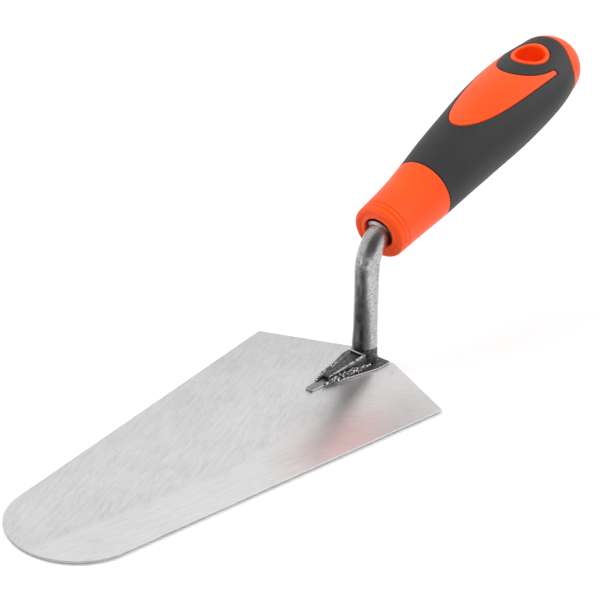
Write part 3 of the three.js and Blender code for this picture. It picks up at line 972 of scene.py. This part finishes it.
def forged_steel(name, is_plate):
    """Semi-bright steel with dark pits; round the welded foot, dark weld scale that is partly painted
    shade and dark reflection, with painted highlights along the edges.
    """
    n = Nodes(name)
    parts = n.add("ShaderNodeSeparateXYZ")
    n.link(n.place, parts.inputs[0])
    face = n.add("ShaderNodeSeparateXYZ")
    n.link(n.add("ShaderNodeNewGeometry").outputs["Normal"], face.inputs[0])
    # Blotchy dark weld scale; at the foot and on the plate it also carries painted shade.
    scale = n.span(n.noise(1300, (1, 1, 1), 0, 4.0, 0.7), 0.30, 0.62, 1.0, 0.5)
    # Breaks up the painted highlights along the rib's top edges.
    edge_highlight_breakup = n.span(n.noise(900, (1, 1, 1), 0, 2.0, 0.5), 0.35, 0.5)
    if is_plate:
        # Dark weld scale on the plate's up-facing top, darker towards the rod; it is partly painted
        # shade.
        tongue = n.span(parts.outputs["X"], *TONGUE_FADE, 0.45, 1.0, smooth=True)
        top = n.span(face.outputs["Z"], 0.90, 0.99)
        dark = n.math("MULTIPLY", n.math("MULTIPLY", scale, tongue), top)
    else:
        dark = rod_darkness(n, parts, face, scale, edge_highlight_breakup)
    stops = ((0.0, grey(0.50)), (0.35, grey(0.28)), (0.75, grey(0.10)), (1.0, grey(0.05)))
    n.set(Base_Color=n.colours(dark, stops))
    n.set(Metallic=1.0, Roughness=n.span(dark, 0.0, 1.0, 0.25, 0.55))
    relief = n.math("SUBTRACT", n.noise(620, (1, 1, 0.5), 0, 4.0, 0.6), n.math("MULTIPLY", dark, 0.7))
    n.bump(relief, 0.00009, 0.6)
    return n.material


def rod_darkness(n, parts, face, scale, edge_highlight_breakup):
    """Where the tang is dark: pits, a painted dark reflection down its front and at the bend, weld
    scale with painted shade and dark reflection at its foot, and painted shade inside the mouth;
    painted highlights along the rib's edges and on the ledge stay light.
    """
    x, y, z = parts.outputs
    pits = n.span(n.noise(2100, (1, 1, 0.6), 0, 2.0, 0.6), 0.56, 0.68)
    marks = n.span(n.noise(240, (1, 1, 0.4), 0, 5.0, 0.7), 0.56, 0.70, smooth=True)
    bend = n.span(n.math("ABSOLUTE", n.math("SUBTRACT", z, BEND_AT)), 0.0, BEND_REACH, 1, 0)
    patch = n.span(n.noise(700, (1, 1, 0.6), 0, 4.0, 0.7), 0.42, 0.60)
    # Painted dark reflection: front-facing faces are darkened in an uneven strip below STRIP_FADE and
    # in patches at the bend.
    front = n.span(face.outputs["X"], -0.98, -0.72, 1.0, 0.0, smooth=True)
    front_dark_reflection = n.math("MULTIPLY", front, n.span(z, *STRIP_FADE, 1.0, 0.0, smooth=True))
    uneven = n.span(n.noise(330, (1, 1, 0.35), 0, 4.0, 0.65), 0.30, 0.60, 0.35, 0.85)
    dark = n.math("MAXIMUM", n.math("MULTIPLY", pits, 0.6), n.math("MULTIPLY", marks, 0.5))
    dark = n.math("MAXIMUM", dark, n.math("MULTIPLY", front_dark_reflection, uneven))
    low_bend = n.math("MULTIPLY", n.math("MULTIPLY", bend, patch), n.span(front, 0.0, 0.4, 0.25, 0.95))
    dark = n.math("MAXIMUM", dark, low_bend)
    # Darker low down at the foot: weld scale, with painted shade in the neck groove and painted dark
    # reflection on the rib's top.
    foot = n.span(z, *FOOT_FADE, 1.0, 0.0, smooth=True)
    dark = n.math("MAXIMUM", dark, n.math("MULTIPLY", foot, scale))
    # Painted shade: the rod is darkened where it goes into the handle's mouth.
    along = n.add("ShaderNodeVectorMath", operation="DOT_PRODUCT")
    n.link(n.place, along.inputs[0])
    along.inputs[1].default_value = tuple(ALONG)
    mouth = float(MOUTH @ ALONG) * MM
    inside = n.span(along.outputs["Value"], mouth - 0.0003, mouth + 0.0005, 0.0, 0.92)
    dark = n.math("MAXIMUM", dark, inside)
    # Painted highlights: thin lines along the rib's two top edges, broken up, and a band on the ledge
    # are kept light.
    edge = n.math("MULTIPLY", n.math("SUBTRACT", x, RIB_TOE["x"] * MM), RIB_SLOPE)
    edge = n.math("SUBTRACT", n.math("ABSOLUTE", y), edge)
    edge = n.math("SUBTRACT", edge, RIB_TOE["top_half"] * MM)
    edge = n.span(n.math("ABSOLUTE", edge), 0.00010, 0.00026, 1.0, 0.0)
    level = LEDGE["z"]
    ledge = n.span(z, (level + 0.1) * MM, (level + 0.3) * MM)
    over = n.span(z, (level + 0.65) * MM, (level + 0.8) * MM, 1.0, 0.0)  # spares the rod above
    ledge = n.math("MULTIPLY", ledge, over)
    ledge = n.math("MULTIPLY", ledge, n.span(x, *LEDGE_BACK, 1.0, 0.0))
    # bare: the painted highlights, where the darkening is taken off.
    bare = n.math("MAXIMUM", n.math("MULTIPLY", n.math("MULTIPLY", edge, edge_highlight_breakup), foot), ledge)
    return n.math("MULTIPLY", dark, n.math("SUBTRACT", 1.0, bare))


def weld_steel():
    """Rough weld metal: dark scale and ridges, with bright spots painted on as glints."""
    n = Nodes("weld_steel")
    lumps = n.noise(1000, (1, 1, 1), 0, 4.0, 0.65)
    # Painted highlights: bright spots stand in for glints off the bead.
    glint_spots = n.span(n.noise(1150, (1, 1, 1), 0.7, 2.0, 0.5), 0.53, 0.60)
    tone = n.math("MAXIMUM", n.span(lumps, 0.35, 0.75, 0.0, 0.4), glint_spots)
    n.set(Base_Color=n.colours(tone, ((0.0, grey(0.07)), (0.4, grey(0.24)), (1.0, grey(0.92)))))
    n.set(Metallic=1.0, Roughness=n.span(tone, 0.0, 1.0, 0.5, 0.2))
    n.bump(lumps, 0.00018, 0.8)
    return n.material


def orange_plastic():
    """Semi-gloss orange moulding with a very fine spark texture."""
    n = Nodes("orange_plastic")
    cloud = n.noise(45, (1, 1, 1), 0, 2.0, 0.5)
    n.set(Base_Color=n.colours(cloud, ((0.3, (0.97, 0.070, 0.001)), (0.7, (1.0, 0.088, 0.006)))))
    grain = n.noise(5200, (1, 1, 1), 0, 2.0, 0.6)
    n.set(Roughness=n.span(grain, 0.3, 0.7, 0.36, 0.48))
    n.set(IOR=1.5, Specular_IOR_Level=0.28)
    n.bump(grain, 0.000012, 0.4)
    return n.material


def grey_rubber():
    """Matte soft-touch grip with a fine even grain."""
    n = Nodes("grey_rubber")
    cloud = n.noise(60, (1, 1, 1), 0, 3.0, 0.5)
    grain = n.noise(3600, (1, 1, 1), 0, 3.0, 0.6)
    tone = n.mix(0.4, cloud, grain)
    n.set(Base_Color=n.colours(tone, ((0.3, grey(0.017)), (0.7, grey(0.026)))))
    n.set(Roughness=n.span(grain, 0.3, 0.7, 0.48, 0.62))
    n.set(IOR=1.5, Specular_IOR_Level=0.4)
    n.bump(grain, 0.00003, 0.5)
    return n.material


def finish_piece(piece, material, slot, *nodes):
    """Gives a piece its material and its body, and hides the CAD nodes it replaces; the slot is not
    used.
    """
    piece.data.materials.clear()
    piece.data.materials.append(material)
    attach(piece, "root")
    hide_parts(*nodes)


# ---------- stage ----------
def build_floor():
    """A plain pale floor."""
    signs = ((-1, -1), (1, -1), (1, 1), (-1, 1))
    points = [(x * FLOOR_HALF, y * FLOOR_HALF, FLOOR_LEVEL) for x, y in signs]
    floor = new_object("floor", points, [(0, 1, 2, 3)])
    n = Nodes("pale_floor")
    n.set(Base_Color=n.colours(n.noise(3, detail=1.0), ((0.0, grey(0.93)), (1.0, grey(0.95)))))
    n.set(Roughness=0.9)
    floor.data.materials.append(n.material)


def area_light(name, place, target, size, power, mirrored=True):
    """A soft lamp; one that isn't mirrored lights surfaces but doesn't show in the bare steel."""
    light = bpy.data.lights.new(name, "AREA")
    light.shape = "RECTANGLE"
    light.size, light.size_y = size
    light.energy = power
    lamp = bpy.data.objects.new(name, light)
    lamp.location = place
    aim = Vector(target) - Vector(place)
    lamp.rotation_euler = aim.to_track_quat("-Z", "Y").to_euler()
    lamp.visible_glossy = mirrored
    bpy.context.scene.collection.objects.link(lamp)


def camera_axes():
    """The camera's right, up and backward directions, with its roll."""
    back = Vector((
        math.sin(CAMERA_AZIMUTH) * math.cos(CAMERA_ELEVATION),
        -math.cos(CAMERA_AZIMUTH) * math.cos(CAMERA_ELEVATION),
        math.sin(CAMERA_ELEVATION),
    ))
    right = Vector((0, 0, 1)).cross(back).normalized()
    up = back.cross(right)
    rolled_right = math.cos(CAMERA_ROLL) * right + math.sin(CAMERA_ROLL) * up
    rolled_up = -math.sin(CAMERA_ROLL) * right + math.cos(CAMERA_ROLL) * up
    return rolled_right, rolled_up, back


def build_camera():
    """The camera at its fixed place."""
    camera = bpy.data.cameras.new("camera")
    camera.sensor_width = 36
    camera.lens = CAMERA_LENS
    camera.clip_start = 0.01
    holder = bpy.data.objects.new("camera", camera)
    turn = Matrix(camera_axes()).transposed().to_4x4()
    holder.matrix_world = Matrix.Translation(CAMERA_PLACE) @ turn
    bpy.context.scene.collection.objects.link(holder)
    bpy.context.scene.camera = holder


def build_world():
    """A bright surround, darker on the side of one fixed direction that stays put in every view."""
    world = bpy.data.worlds.new("studio")
    world.use_nodes = True
    bpy.context.scene.world = world
    tree = world.node_tree
    background = tree.nodes["Background"]
    place = tree.nodes.new("ShaderNodeTexCoord")
    dot = tree.nodes.new("ShaderNodeVectorMath")
    dot.operation = "DOT_PRODUCT"
    dot.inputs[1].default_value = camera_axes()[2]
    ramp = tree.nodes.new("ShaderNodeValToRGB")
    tones = (WORLD_BRIGHT, WORLD_DARK)
    for element, position, colour in zip(ramp.color_ramp.elements, WORLD_FADE, tones):
        element.position = position
        element.color = colour
    tree.links.new(place.outputs["Generated"], dot.inputs[0])
    tree.links.new(dot.outputs["Value"], ramp.inputs["Fac"])
    tree.links.new(ramp.outputs["Color"], background.inputs["Color"])
    background.inputs["Strength"].default_value = WORLD_STRENGTH


# ---------- assembly ----------
steel_ground = ground_steel()
steel_forged = forged_steel("forged_steel", False)
steel_plate = forged_steel("forged_plate_steel", True)
steel_weld = weld_steel()
plastic_orange = orange_plastic()
rubber_grey = grey_rubber()

finish_piece(build_blade(), steel_ground, "ground_steel", "blade")
finish_piece(build_shoe(), steel_plate, "forged_steel", "foot_plate")
finish_piece(build_tang(), steel_forged, "forged_steel", "tang")
weld_left = build_weld("weld_left_bead", WELD_RADIUS, side_line(1), 10, 1)
weld_right = build_weld("weld_right_bead", WELD_RADIUS, side_line(-1), 10, 2)
weld_heel = build_weld("weld_heel_bead", HEEL_WELD_RADIUS, heel_line(), 8, 3)
finish_piece(weld_left, steel_weld, "weld_steel", "weld_left")
finish_piece(weld_right, steel_weld, "weld_steel", "weld_right")
finish_piece(weld_heel, steel_weld, "weld_steel", "weld_heel")
handle_core, soft_grip = build_handle()
finish_piece(handle_core, plastic_orange, "orange_plastic", "handle_core")
finish_piece(soft_grip, rubber_grey, "grey_rubber", "soft_grip")

build_floor()
build_world()
area_light("key", (-0.5, 0.7, 1.3), (0, 0, 0.05), (1.1, 1.1), 12.5, mirrored=False)
area_light("front", (-0.9, -1.1, 1.3), (0.05, 0, 0.08), (0.8, 0.8), 12, mirrored=False)
area_light("fill", (0.9, -0.6, 0.9), (0, 0, 0.05), (0.9, 0.9), 4)
build_camera()
bpy.context.scene.view_settings.view_transform = "Standard"
